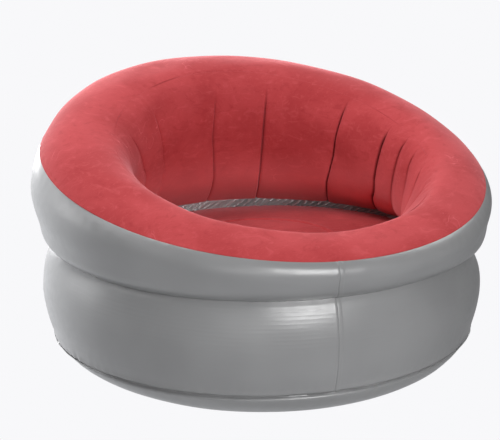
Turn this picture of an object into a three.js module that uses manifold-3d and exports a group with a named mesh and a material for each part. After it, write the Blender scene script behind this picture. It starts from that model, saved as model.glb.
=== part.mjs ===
// Round inflatable armchair: a drum-shaped base chamber and a tilted upper ring that rises to a backrest,
// both made of welded film, with a screw valve at the back.
// Millimetres, +Z up, origin on the floor under the middle of the chair, the low front rim towards -Y.
// The chair is swept round +Z: an angle of 0 is the front and an angle of 90 degrees is the +X side.
import * as THREE from 'three';
import { mergeVertices } from 'three/addons/utils/BufferGeometryUtils.js';
import Module from 'manifold-3d';

const wasm = await Module();
wasm.setup();

const degree = Math.PI / 180;

// Films, welds and clearances
const greyFilm = 0.5;
const flockedFilm = 0.7;
const beamFilm = 0.4;
const clearance = 0.3;
const weldWidth = 8;

// Lower drum: underside, base weld, wall and waist
const floorRadius = 406;
const baseWeldRadius = 510;
const baseWeldHeight = 66;
const baseWeldTiltHeight = 11;
const baseShoulderRadius = 472;
const baseShoulderHeight = 24;
const lowerBulgeRadius = 527;
const lowerBulgeHeight = 184;
const waistRadius = 508;
const waistHeight = 290;

// Upper ring, at its low front and at its tall back
const upperBulgeRadius = { front: 540, back: 555 };
const upperBulgeHeight = { front: 329, back: 459 };
const rimWeldRadius = { front: 535, back: 519 };
const rimWeldHeight = { front: 372, back: 564 };
const rimWeldSideLiftHeight = 9;
const crestRadius = { front: 453, back: 438 };
const crestHeight = { front: 404, back: 650 };
const lipWeldRadius = { front: 431, back: 302 };
const lipWeldHeight = { front: 399, back: 629 };
const crestSideLiftHeight = 8;
const wellMiddleRadius = { front: 352, back: 284 };
const wellMiddleHeight = { front: 332, back: 439 };
const wellLowRadius = { front: 350, back: 322 };
const wellLowHeight = { front: 281, back: 340 };

// Foot of the inner wall, the grey band under it and the seat
const footRadius = 425;
const footHeight = { front: 254, back: 247 };
const bandDrop = 25;
const bandFlare = 5;
const seatBeamRadius = 183;
const seatBeamHeight = 257;
const seatLandWidth = 12;
const seatCrown = 7;
const annulusCrown = 7;

// Gathers in the inner wall
const creaseDepth = 9;
const creaseAngles = [-141, -123, -102, -75, -45, -15, 15, 42, 63, 75, 91, 118, 153, 183];

// Ring beam under the seat, in arcs with air gaps between them, and the air holes in the divider
const seatBeamArcs = 4;
const seatBeamAirGap = 24;
const airHoles = 6;
const airHoleRadius = 11;

// Valve: a welded base, a screwed collar that carries the flap, and a screwed cap
const neckRadius = 17;
const neckWall = 3.6;
const neckLength = 8;
const neckDepth = 6;
const valveFlangeRadius = 32;
const valveFlangeThickness = 1.2;
const skirtWall = 3.2;
const collarPlate = 2;
const gasketThickness = 1;
const spoutRadius = 11;
const spoutWall = 2.4;
const spoutLength = 8;
const flapSeatDepth = 4;
const spiderThickness = 1.5;
const spiderArmWidth = 1.6;
const spiderHubRadius = 3.2;
const spiderArms = 4;
const stemRadius = 1.2;
const stemHeadRadius = 2.2;
const flapOverlap = 2.4;
const flapThickness = 0.8;
const flapTravel = 2;
const capPlate = 1.8;
const capSkirtWall = 2.7;
const tetherThickness = 1.5;
const tetherRingWidth = 2.7;
const tetherLoopReach = 2.6;
const tetherStrapWidth = 6;
const tetherGrooveDepth = 1.4;
const gripScallops = 16;
const gripDepth = 0.8;

// Facets
const columnCount = 48;
const valveSides = 24;
const scallopSteps = 4;
const bulgeShares = [0.25, 0.5, 0.75];
const upperWallSteps = 5;
const rimSteps = 4;
const innerWallSteps = 6;
const overrun = 20;

// Colours and finishes
const greySatin = { color: 0x7d7f83, roughness: 0.38, metalness: 0 };
const redFlock = { color: 0xc8474c, roughness: 0.95, metalness: 0 };
const beamClear = { color: 0x9a9ca0, roughness: 0.5, metalness: 0 };
const valveMoulding = { color: 0x3c3e42, roughness: 0.45, metalness: 0 };
const softRubber = { color: 0x202124, roughness: 0.8, metalness: 0 };

// Every panel shares these sweep angles, so that welded edges lie facet on facet and creases lie on a column
function sweepAngles() {
  const step = 360 / columnCount;
  const angles = [];
  for (let i = 0; i < columnCount; i += 1) {
    const even = i * step;
    const crease = creaseAngles.find((angle) => Math.abs(wrapped(angle - even)) < step / 2);
    angles.push((crease === undefined ? even : even + wrapped(crease - even)) * degree);
  }
  return angles;
}

function wrapped(angle) {
  return angle - 360 * Math.round(angle / 360);
}

// Blends a size from its front value to its back value round the chair
function around(size, angle) {
  return size.front + (size.back - size.front) * (1 - Math.cos(angle)) / 2;
}

function point(radius, height) {
  return new THREE.Vector2(radius, height);
}

function moved(start, direction, distance) {
  return start.clone().addScaledVector(direction, distance);
}

function leftOf(direction) {
  return new THREE.Vector2(-direction.y, direction.x);
}

function heading(from, to) {
  return to.clone().sub(from).normalize();
}

// Named points of the chair's section at one angle
function baseWeldAt(angle) {
  return point(baseWeldRadius, baseWeldHeight + baseWeldTiltHeight * Math.cos(angle));
}

function footAt(angle) {
  return point(footRadius, around(footHeight, angle));
}

function bandBottomAt(angle) {
  return footAt(angle).add(point(bandFlare, -bandDrop));
}

function upperKnots(angle) {
  const rimLift = rimWeldSideLiftHeight * Math.sin(angle) ** 2;
  const crestLift = crestSideLiftHeight * Math.sin(angle) ** 2;
  return [
    point(waistRadius, waistHeight + weldWidth / 2),
    point(around(upperBulgeRadius, angle), around(upperBulgeHeight, angle)),
    point(around(rimWeldRadius, angle), around(rimWeldHeight, angle) + rimLift),
    point(around(crestRadius, angle), around(crestHeight, angle) + crestLift),
    point(around(lipWeldRadius, angle), around(lipWeldHeight, angle) + crestLift),
    point(around(wellMiddleRadius, angle), around(wellMiddleHeight, angle)),
    point(around(wellLowRadius, angle), around(wellLowHeight, angle)),
    footAt(angle),
  ];
}

const waistKnot = 0;
const rimWeldKnot = 2;
const lipWeldKnot = 4;
const footKnot = 7;
const angles = sweepAngles();
const stations = knotStations();

// Distances along the section at its knots, averaged round the chair
function knotStations() {
  const total = new Array(footKnot + 1).fill(0);
  for (const angle of angles) {
    const knots = upperKnots(angle);
    for (let i = 1; i < knots.length; i += 1) {
      total[i] += knots[i].distanceTo(knots[i - 1]) / angles.length;
    }
  }
  let along = 0;
  return total.map((span) => {
    along += span;
    return along;
  });
}

// Second derivatives of the natural cubic spline through values at the stations
function splineBends(values) {
  const last = values.length - 1;
  const slopes = new Array(last + 1).fill(0);
  const loads = new Array(last + 1).fill(0);
  for (let i = 1; i < last; i += 1) {
    const before = stations[i] - stations[i - 1];
    const after = stations[i + 1] - stations[i];
    const jump = (values[i + 1] - values[i]) / after - (values[i] - values[i - 1]) / before;
    const pivot = 2 * (before + after) - before * slopes[i - 1];
    slopes[i] = after / pivot;
    loads[i] = (6 * jump - before * loads[i - 1]) / pivot;
  }
  const bends = new Array(last + 1).fill(0);
  for (let i = last - 1; i > 0; i -= 1) {
    bends[i] = loads[i] - slopes[i] * bends[i + 1];
  }
  return bends;
}

function splineValue(values, bends, span, share) {
  const width = stations[span + 1] - stations[span];
  const rest = 1 - share;
  const straight = rest * values[span] + share * values[span + 1];
  const left = (rest ** 3 - rest) * bends[span];
  const right = (share ** 3 - share) * bends[span + 1];
  return straight + (left + right) * width ** 2 / 6;
}

// The upper ring's section as a smooth line: at(knot) takes whole and fractional knot numbers
function upperSection(angle) {
  const knots = upperKnots(angle);
  const radii = knots.map((knot) => knot.x);
  const heights = knots.map((knot) => knot.y);
  const radiusBends = splineBends(radii);
  const heightBends = splineBends(heights);
  return (knot) => {
    const span = Math.min(Math.floor(knot), footKnot - 1);
    const share = knot - span;
    const radius = splineValue(radii, radiusBends, span, share);
    return point(radius, splineValue(heights, heightBends, span, share));
  };
}

function stretch(section, from, to, steps) {
  const points = [];
  for (let i = 1; i < steps; i += 1) {
    points.push(section(from + (to - from) * i / steps));
  }
  return points;
}

// Edges of two films that meet in a weld whose flange points into the chamber
function weldEdges(section, knot, firstFilm, secondFilm) {
  const nearShare = 0.05;
  const along = heading(section(knot - nearShare), section(knot + nearShare));
  const inward = leftOf(along);
  const half = (clearance + (firstFilm + secondFilm) / 2) / 2;
  const first = moved(section(knot), along, -half);
  const second = moved(section(knot), along, half);
  return {
    first: [first, moved(first, inward, weldWidth)],
    second: [moved(second, inward, weldWidth), second],
  };
}

function rimWeld(section) {
  return weldEdges(section, rimWeldKnot, greyFilm, flockedFilm);
}

function lipWeld(section) {
  return weldEdges(section, lipWeldKnot, flockedFilm, flockedFilm);
}

// The weld of the band and the seat, whose flange points down and outwards under the band
function seatWeld(angle) {
  const corner = bandBottomAt(angle);
  const bandHeading = heading(footAt(angle), corner);
  const seatHeading = heading(point(seatBeamRadius, seatBeamHeight), corner);
  const flange = bandHeading.add(seatHeading).normalize();
  const half = (clearance + (greyFilm + flockedFilm) / 2) / 2;
  const band = moved(corner, leftOf(flange), half);
  const seat = moved(corner, leftOf(flange), -half);
  return {
    band: [band, moved(band, flange, weldWidth)],
    seat: [moved(seat, flange, weldWidth), seat],
  };
}

function throughPoint(start, middle, end, share) {
  const first = (1 - share) * (1 - 2 * share);
  const second = 4 * share * (1 - share);
  const third = share * (2 * share - 1);
  const line = start.clone().multiplyScalar(first);
  return line.addScaledVector(middle, second).addScaledVector(end, third);
}

// Midlines of the panels' films at one angle, from one edge to the other
function outerWallLine(angle) {
  const weld = baseWeldAt(angle).add(point(0, (clearance + greyFilm) / 2));
  const waistLow = point(waistRadius, waistHeight - weldWidth / 2);
  const bulge = point(lowerBulgeRadius, lowerBulgeHeight);
  const section = upperSection(angle);
  return [
    moved(weld, point(1, 0), weldWidth),
    weld,
    ...bulgeShares.map((share) => throughPoint(weld, bulge, waistLow, share)),
    waistLow,
    section(waistKnot),
    ...stretch(section, waistKnot, rimWeldKnot, upperWallSteps),
    ...rimWeld(section).first,
  ];
}

function rimPanelLine(angle) {
  const section = upperSection(angle);
  return [
    ...rimWeld(section).second,
    ...stretch(section, rimWeldKnot, lipWeldKnot, rimSteps),
    ...lipWeld(section).first,
  ];
}

function innerWallLine(angle) {
  const section = upperSection(angle);
  const foot = footAt(angle);
  const slope = heading(foot, point(waistRadius, waistHeight));
  const seat = moved(foot, leftOf(slope), clearance + (greyFilm + flockedFilm) / 2);
  const wall = stretch(section, lipWeldKnot, footKnot, innerWallSteps);
  const creased = creaseAngles.some((crease) => Math.abs(wrapped(angle / degree - crease)) < 0.01);
  const gathered = wall.map((line, i) => {
    const depth = creased ? creaseDepth * Math.sin(Math.PI * (i + 1) / innerWallSteps) : 0;
    return line.add(point(depth, 0));
  });
  return [...lipWeld(section).second, ...gathered, seat, moved(seat, slope, weldWidth)];
}

function dividerLine(angle) {
  const edgeRadius = waistRadius - greyFilm - clearance;
  return [
    point(edgeRadius, waistHeight + weldWidth / 2),
    point(edgeRadius, waistHeight - weldWidth / 2),
    footAt(angle),
    ...seatWeld(angle).band,
  ];
}

function seatLine(angle) {
  const [flange, edge] = seatWeld(angle).seat;
  const landOuter = point(seatBeamRadius + seatLandWidth / 2, seatBeamHeight);
  const landInner = point(seatBeamRadius - seatLandWidth / 2, seatBeamHeight);
  const crown = point(0, seatBeamHeight + seatCrown);
  const annulusMiddle = edge.clone().lerp(landOuter, 0.5).add(point(0, annulusCrown));
  const crownMiddle = landInner.clone().lerp(crown, 0.5).add(point(0, seatCrown / 4));
  return [
    flange,
    edge,
    throughPoint(edge, annulusMiddle, landOuter, 0.3),
    throughPoint(edge, annulusMiddle, landOuter, 0.7),
    landOuter,
    landInner,
    crownMiddle,
    crown,
  ];
}

function basePanelLine(angle) {
  const weld = baseWeldAt(angle).add(point(0, -(clearance + greyFilm) / 2));
  const floorEdge = point(floorRadius, greyFilm / 2);
  const shoulder = point(baseShoulderRadius, baseShoulderHeight);
  return [
    moved(weld, point(1, 0), weldWidth),
    weld,
    throughPoint(weld, shoulder, floorEdge, 1 / 3),
    throughPoint(weld, shoulder, floorEdge, 2 / 3),
    floorEdge,
    point(0, greyFilm / 2),
  ];
}

function seatBeamLine() {
  const top = seatBeamHeight - flockedFilm / 2 - clearance - beamFilm / 2;
  const bottom = greyFilm + clearance + beamFilm / 2;
  const flangeRadius = seatBeamRadius + weldWidth / 2;
  const webRadius = seatBeamRadius - weldWidth / 2;
  return [
    point(flangeRadius, top),
    point(webRadius, top),
    point(webRadius, bottom),
    point(flangeRadius, bottom),
  ];
}

// The largest radius of the outer wall at the back, no further than reach above or below a height
function wallReachNear(height, reach) {
  const line = outerWallLine(Math.PI).slice(1);
  const radii = [];
  for (let i = 1; i < line.length; i += 1) {
    const low = Math.max(line[i - 1].y, height - reach);
    const high = Math.min(line[i].y, height + reach);
    if (low <= high) {
      const span = line[i].y - line[i - 1].y;
      radii.push(line[i - 1].clone().lerp(line[i], (low - line[i - 1].y) / span).x);
      radii.push(line[i - 1].clone().lerp(line[i], (high - line[i - 1].y) / span).x);
    }
  }
  return Math.max(...radii);
}

// Moves a midline sideways, with mitred corners
function offsetLine(line, distance) {
  return line.map((here, i) => {
    const before = i > 0 ? heading(line[i - 1], here) : heading(here, line[i + 1]);
    const after = i < line.length - 1 ? heading(here, line[i + 1]) : before;
    const middle = before.clone().add(after).normalize();
    const reach = distance / middle.dot(after);
    const shifted = moved(here, leftOf(middle), reach);
    return here.x === 0 ? point(0, shifted.y) : shifted;
  });
}

// A closed solid of film swept round the chair, whole or along the given angles only. Both faces of the film
// split each twisted quad along the same diagonal, so that they stay one film thickness apart
function sweptFilm(lineAt, thickness, sweep, whole, shift) {
  const columns = sweep.map((angle) => {
    const line = lineAt(angle);
    const face = offsetLine(line, shift + thickness / 2);
    const back = offsetLine(line, shift - thickness / 2);
    return [...face, ...back.reverse()].map((spot) => {
      return new THREE.Vector3(spot.x * Math.sin(angle), -spot.x * Math.cos(angle), spot.y);
    });
  });
  const ring = columns[0].length;
  const triangles = [];
  const spans = whole ? columns.length : columns.length - 1;
  for (let i = 0; i < spans; i += 1) {
    const here = columns[i];
    const next = columns[(i + 1) % columns.length];
    for (let j = 0; j < ring; j += 1) {
      const k = (j + 1) % ring;
      if (j < ring / 2) {
        triangles.push([here[j], next[j], next[k]], [here[j], next[k], here[k]]);
      } else {
        triangles.push([here[j], next[j], here[k]], [next[j], next[k], here[k]]);
      }
    }
  }
  if (!whole) {
    const lastCap = endCap(columns[columns.length - 1]).map((face) => face.reverse());
    triangles.push(...endCap(columns[0]), ...lastCap);
  }
  return closedGeometry(triangles);
}

// The end of an open sweep: the film's two faces joined step by step
function endCap(column) {
  const faces = [];
  const last = column.length - 1;
  for (let j = 0; j < column.length / 2 - 1; j += 1) {
    const corners = [column[j], column[j + 1], column[last - j - 1], column[last - j]];
    faces.push([corners[0], corners[1], corners[2]], [corners[0], corners[2], corners[3]]);
  }
  return faces;
}

// Leaves out triangles without area, and turns the solid so that its faces point outwards
function closedGeometry(triangles) {
  const least = 1e-6;
  const full = triangles.filter(([a, b, c]) => {
    return b.clone().sub(a).cross(c.clone().sub(a)).length() > least;
  });
  const volume = full.reduce((sum, [a, b, c]) => sum + a.dot(b.clone().cross(c)), 0);
  const outward = volume > 0 ? full : full.map(([a, b, c]) => [a, c, b]);
  const geometry = new THREE.BufferGeometry();
  geometry.setFromPoints(outward.flat());
  return merged(geometry);
}

function merged(geometry) {
  geometry.deleteAttribute('normal');
  geometry.deleteAttribute('uv');
  const tolerance = 1e-3;
  return mergeVertices(geometry, tolerance);
}

function solidOf(geometry) {
  const closed = merged(geometry);
  return new wasm.Manifold(new wasm.Mesh({
    numProp: 3,
    vertProperties: new Float32Array(closed.attributes.position.array),
    triVerts: new Uint32Array(closed.index.array),
  }));
}

function geometryOf(solid) {
  const mesh = solid.getMesh();
  const geometry = new THREE.BufferGeometry();
  const positions = new Float32Array(mesh.vertProperties);
  geometry.setAttribute('position', new THREE.BufferAttribute(positions, mesh.numProp));
  geometry.setIndex(new THREE.BufferAttribute(new Uint32Array(mesh.triVerts), 1));
  return geometry;
}

// A round piece turned about +Z from [radius, height] corners
function turned(corners, sides = valveSides) {
  const closed = [...corners, corners[0]].map(([radius, height]) => point(radius, height));
  return new THREE.LatheGeometry(closed, sides).rotateX(Math.PI / 2);
}

function tube(outer, inner, low, high) {
  return turned([[inner, low], [outer, low], [outer, high], [inner, high]]);
}

function rod(radius, low, high, sides = valveSides) {
  const geometry = new THREE.CylinderGeometry(radius, radius, high - low, sides);
  return geometry.rotateX(Math.PI / 2).translate(0, 0, (high + low) / 2);
}

function bar(lengthX, lengthY, low, high) {
  return new THREE.BoxGeometry(lengthX, lengthY, high - low).translate(0, 0, (high + low) / 2);
}

function joined(...geometries) {
  return geometries.map(solidOf).reduce((whole, piece) => whole.add(piece));
}

// Heights of the valve's pieces above the face of the wall
const collarRingLow = clearance;
const collarRingHigh = collarRingLow + tetherThickness;
const collarSkirtLow = collarRingHigh + clearance;
const collarGasketLow = neckLength + clearance;
const collarPlateLow = collarGasketLow + gasketThickness + clearance;
const collarTop = collarPlateLow + collarPlate;
const flapSeatLow = collarPlateLow - flapSeatDepth;
const capRingLow = collarTop + clearance;
const capSkirtLow = capRingLow + tetherThickness + clearance;
const spoutTop = collarTop + spoutLength;
const capGasketLow = spoutTop + clearance;
const capPlateLow = capGasketLow + gasketThickness + clearance;
const capTop = capPlateLow + capPlate;

// Radii of the valve's pieces
const neckBore = neckRadius - neckWall;
const collarInner = neckRadius + clearance;
const collarRadius = collarInner + skirtWall;
const spoutBore = spoutRadius - spoutWall;
const capInner = spoutRadius + clearance;
const capRadius = capInner + capSkirtWall;
const grooveHeight = tetherThickness + 2 * clearance;

// The valve stands on the part of the wall that reaches furthest out within the collar's tether
const valveReach = collarRadius - tetherGrooveDepth + clearance + tetherRingWidth + tetherLoopReach;
const valveWallRadius = wallReachNear(lowerBulgeHeight, valveReach);
const valveStandOff = valveWallRadius - lowerBulgeRadius;

const valveGroup = new THREE.Group();
valveGroup.position.set(0, valveWallRadius + greyFilm / 2, lowerBulgeHeight);
valveGroup.rotation.x = -Math.PI / 2;
valveGroup.updateMatrixWorld(true);

function makeOuterWall() {
  const wall = solidOf(sweptFilm(outerWallLine, greyFilm, angles, true, 0));
  const cut = rod(neckRadius + clearance, -overrun, overrun).applyMatrix4(valveGroup.matrixWorld);
  return geometryOf(wall.subtract(solidOf(cut)));
}

function makeDivider() {
  const radius = (footRadius + waistRadius) / 2;
  let divider = solidOf(sweptFilm(dividerLine, greyFilm, angles, true, 0));
  for (let i = 0; i < airHoles; i += 1) {
    const angle = (i + 0.5) * 2 * Math.PI / airHoles;
    const hole = rod(airHoleRadius, waistHeight - bandDrop - overrun, waistHeight + overrun, valveSides / 2);
    hole.translate(radius * Math.sin(angle), -radius * Math.cos(angle), 0);
    divider = divider.subtract(solidOf(hole));
  }
  return geometryOf(divider);
}

function makeSeatBeamArc(index) {
  const span = 2 * Math.PI / seatBeamArcs;
  const trim = seatBeamAirGap / seatBeamRadius / 2;
  const from = index * span + trim;
  const to = (index + 1) * span - trim;
  const inside = angles.filter((angle) => angle > from + trim / 2 && angle < to - trim / 2);
  return sweptFilm(seatBeamLine, beamFilm, [from, ...inside, to], false, 0);
}

// The flange lies against the inside of the wall and has the wall's own facets
function makeValveBase() {
  const wallToLocal = valveGroup.matrixWorld.clone().invert();
  const shift = (greyFilm + valveFlangeThickness) / 2 + clearance;
  const lining = sweptFilm(outerWallLine, valveFlangeThickness, angles, true, shift);
  const flange = solidOf(lining.applyMatrix4(wallToLocal));
  const disc = solidOf(rod(valveFlangeRadius, -overrun, overrun));
  const neck = solidOf(rod(neckRadius, -neckDepth - valveStandOff, neckLength));
  const bore = solidOf(rod(neckBore, -overrun, overrun));
  return geometryOf(flange.intersect(disc).add(neck).subtract(bore));
}

function makeGasket(outer, inner, low) {
  return tube(outer, inner, low, low + gasketThickness);
}

// Skirt, plate and spout in one, with the flap's seat and spider inside and a groove for the tether
function makeCollar() {
  const grooveLow = collarPlateLow - grooveHeight - clearance;
  const seatRadius = neckBore - clearance;
  let collar = joined(
    tube(collarRadius, collarInner, collarSkirtLow, collarTop),
    tube(collarRadius, spoutBore, collarPlateLow, collarTop),
    tube(spoutRadius, spoutBore, collarPlateLow, spoutTop),
    tube(seatRadius, spoutBore, flapSeatLow, collarTop),
    rod(spiderHubRadius, flapSeatLow, flapSeatLow + spiderThickness),
  );
  for (let i = 0; i < spiderArms / 2; i += 1) {
    const arm = bar(2 * spoutBore + spoutWall, spiderArmWidth, flapSeatLow, flapSeatLow + spiderThickness);
    collar = collar.add(solidOf(arm.rotateZ(2 * Math.PI * i / spiderArms)));
  }
  const groove = tube(
    collarRadius + overrun, collarRadius - tetherGrooveDepth, grooveLow, grooveLow + grooveHeight,
  );
  const stemHole = rod(stemRadius + clearance, -overrun, overrun, valveSides / 2);
  return geometryOf(collar.subtract(solidOf(groove)).subtract(solidOf(stemHole)));
}

function makeFlap() {
  const discHigh = flapSeatLow - clearance;
  const headLow = flapSeatLow + spiderThickness + flapTravel + clearance;
  return geometryOf(joined(
    rod(spoutBore + flapOverlap, discHigh - flapThickness, discHigh),
    rod(stemRadius, discHigh - flapThickness, headLow + flapThickness, valveSides / 2),
    rod(stemHeadRadius, headLow, headLow + flapThickness, valveSides / 2),
  ));
}

// A ring round the neck or spout, a ring in the groove of what it holds, and a strap bent between them
function makeTether(footInner, footLow, eyeInner, eyeLow, side) {
  const footOuter = footInner + tetherRingWidth;
  const eyeOuter = eyeInner + tetherRingWidth;
  const reach = Math.max(footOuter, eyeOuter) + tetherLoopReach;
  const strap = (low, high, from, to) => {
    return bar(to - from, tetherStrapWidth, low, high).translate(side * (from + to) / 2, 0, 0);
  };
  const footStrapStart = (footInner + footOuter) / 2;
  const eyeStrapStart = (eyeInner + eyeOuter) / 2;
  return geometryOf(joined(
    tube(footOuter, footInner, footLow, footLow + tetherThickness),
    tube(eyeOuter, eyeInner, eyeLow, eyeLow + tetherThickness),
    strap(footLow, footLow + tetherThickness, footStrapStart, reach),
    strap(eyeLow, eyeLow + tetherThickness, eyeStrapStart, reach),
    strap(footLow, eyeLow + tetherThickness, reach - tetherThickness, reach),
  ));
}

function makeCollarTether() {
  const eyeLow = collarPlateLow - grooveHeight;
  const eyeInner = collarRadius - tetherGrooveDepth + clearance;
  return makeTether(collarInner, collarRingLow, eyeInner, eyeLow, 1);
}

function makeCapTether() {
  const eyeLow = spoutTop - grooveHeight;
  const eyeInner = capRadius - tetherGrooveDepth + clearance;
  return makeTether(capInner, capRingLow, eyeInner, eyeLow, -1);
}

// The cap's head has finger scallops, worked out as a wave round its edge
function scallopedHead(radius, low, high) {
  const outline = [];
  const steps = gripScallops * scallopSteps;
  for (let i = 0; i < steps; i += 1) {
    const turn = 2 * Math.PI * i / steps;
    const edge = radius - gripDepth * (1 - Math.cos(gripScallops * turn)) / 2;
    outline.push(point(edge * Math.cos(turn), edge * Math.sin(turn)));
  }
  const shape = new THREE.Shape(outline);
  return new THREE.ExtrudeGeometry(shape, { depth: high - low, bevelEnabled: false }).translate(0, 0, low);
}

function makeCap() {
  const grooveLow = spoutTop - grooveHeight - clearance;
  const head = scallopedHead(capRadius + gripDepth, grooveLow + grooveHeight, capTop);
  const skirt = rod(capRadius, capSkirtLow, capPlateLow);
  const hollow = rod(capInner, capSkirtLow - overrun, capPlateLow);
  const groove = tube(
    capRadius + overrun, capRadius - tetherGrooveDepth, grooveLow, grooveLow + grooveHeight,
  );
  return geometryOf(joined(skirt, head).subtract(solidOf(hollow)).subtract(solidOf(groove)));
}

function named(name, geometry, finish) {
  const mesh = new THREE.Mesh(geometry, new THREE.MeshStandardMaterial(finish));
  mesh.name = name;
  return mesh;
}

const chair = new THREE.Group();
chair.add(named('outer_wall', makeOuterWall(), greySatin));
chair.add(named('base_panel', sweptFilm(basePanelLine, greyFilm, angles, true, 0), greySatin));
chair.add(named('divider_web', makeDivider(), greySatin));
chair.add(named('rim_panel', sweptFilm(rimPanelLine, flockedFilm, angles, true, 0), redFlock));
chair.add(named('inner_wall', sweptFilm(innerWallLine, flockedFilm, angles, true, 0), redFlock));
chair.add(named('seat_panel', sweptFilm(seatLine, flockedFilm, angles, true, 0), redFlock));
for (let i = 0; i < seatBeamArcs; i += 1) {
  chair.add(named(`seat_beam_${i + 1}`, makeSeatBeamArc(i), beamClear));
}

valveGroup.add(named('valve_base', makeValveBase(), valveMoulding));
valveGroup.add(named('collar_gasket', makeGasket(neckRadius, neckBore, collarGasketLow), softRubber));
valveGroup.add(named('collar_tether', makeCollarTether(), valveMoulding));
valveGroup.add(named('valve_collar', makeCollar(), valveMoulding));
valveGroup.add(named('valve_flap', makeFlap(), softRubber));
valveGroup.add(named('cap_gasket', makeGasket(spoutRadius, spoutBore, capGasketLow), softRubber));
valveGroup.add(named('cap_tether', makeCapTether(), valveMoulding));
valveGroup.add(named('valve_cap', makeCap(), valveMoulding));
chair.add(valveGroup);

export default chair;
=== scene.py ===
"""Round inflatable armchair: welded films, gathers and a screw valve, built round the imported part.

+Z is up and the low front rim is towards -Y. The chair is swept round +Z: a turn of 0 is the front and a
turn of 90 degrees is the +X side. Sizes are in millimetres, and every mesh is written in metres. Every film
is a closed sheet with its real thickness.
"""
import math

import bpy
import numpy as np
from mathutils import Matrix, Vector


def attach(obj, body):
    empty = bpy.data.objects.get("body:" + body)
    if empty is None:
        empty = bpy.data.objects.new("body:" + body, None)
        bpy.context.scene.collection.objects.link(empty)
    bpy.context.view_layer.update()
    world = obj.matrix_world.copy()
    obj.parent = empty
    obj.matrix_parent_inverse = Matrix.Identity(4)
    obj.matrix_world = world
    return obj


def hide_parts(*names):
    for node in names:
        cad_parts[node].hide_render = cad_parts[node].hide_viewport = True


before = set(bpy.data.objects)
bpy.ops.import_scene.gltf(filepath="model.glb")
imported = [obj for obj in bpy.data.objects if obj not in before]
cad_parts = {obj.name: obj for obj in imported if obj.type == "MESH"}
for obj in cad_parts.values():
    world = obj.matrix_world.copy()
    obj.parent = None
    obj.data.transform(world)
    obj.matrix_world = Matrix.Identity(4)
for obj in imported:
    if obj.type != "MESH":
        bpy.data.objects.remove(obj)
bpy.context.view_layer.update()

MM = 0.001

# Films and welds
GREY_FILM = 0.5
FLOCKED_FILM = 0.7
CLEARANCE = 0.3
WELD_WIDTH = 8

# Lower drum
FLOOR_RADIUS = 406
BASE_WELD_RADIUS = 510
BASE_WELD_HEIGHT = 66
BASE_WELD_TILT = 11
BASE_SHOULDER = (472, 24)
FIN_REACH = 2.8
FIN_SHARES = (1, 0.6, 0.2)
NEAR_WELD_SHARES = (0, 0.004, 0.009, 0.016, 0.026, 0.04, 0.06, 0.08)
CREVICE = 9
CREVICE_HEIGHT = 4.5
LOWER_BULGE = (527, 184)
WAIST_RADIUS = 508
WAIST_HEIGHT = 283

# Sag of the upper bulge over the waist as (front, sides), fullness of the drum's sides, and the front's brow
WAIST_SAG = (5, 13)
SAG_OVER_WAIST = 25
SAG_REACH = 23
DRUM_FULLNESS = 3.5
BROW = 6
BROW_FROM_RIM = 34
BROW_REACH = 24

# Broad forms: turn and its reach in degrees, height over the waist and its reach, and how far out
WALL_FORMS = (
    (-104, 40, -118, 80, 3.5),
    (-104, 40, 22, 20, -6),
    (56, 40, -38, 26, -9),
    (60, 36, 10, 15, 9),
)

# Where the waist's weld draws the wall in most: turn and its reach in degrees, and millimetres
WAIST_PULLS = ((68, 28, 8), (-112, 26, 3))

# Knots of the upper ring's section as (front, back), and what each gains in height at the sides
KNOT_RADII = ((508, 508), (540, 555), (535, 519), (453, 438),
              (431, 302), (352, 284), (350, 322), (425, 425))
KNOT_HEIGHTS = ((287, 287), (329, 459), (372, 564), (404, 650),
                (399, 629), (332, 439), (281, 340), (254, 247))
KNOT_SIDE_LIFTS = (0, 0, 9, 8, 8, 0, 0, 0)
RIM_WELD_KNOT = 2
LIP_WELD_KNOT = 4
FOOT_KNOT = 7

# Band and seat
BAND_DROP = 24
BAND_SIDE_DROP = 8
BAND_FLARE = 5
PLEAT_DEPTH = 6.0
PLEAT_TURN = 118
PLEAT_REACH = 46
FEWEST_PLEATS = 0.12
PLEAT_SLANT = -0.0036
AIR_HOLES = 6
AIR_HOLE_RADIUS = 11
SEAT_BEAM_RADIUS = 183
SEAT_BEAM_HEIGHT = 257
SEAT_CROWN = 7
ANNULUS_CROWN = 7
SEAT_WELD_RIDGE = 1.1
SEAT_WELD_GROOVE = 3.0

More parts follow.
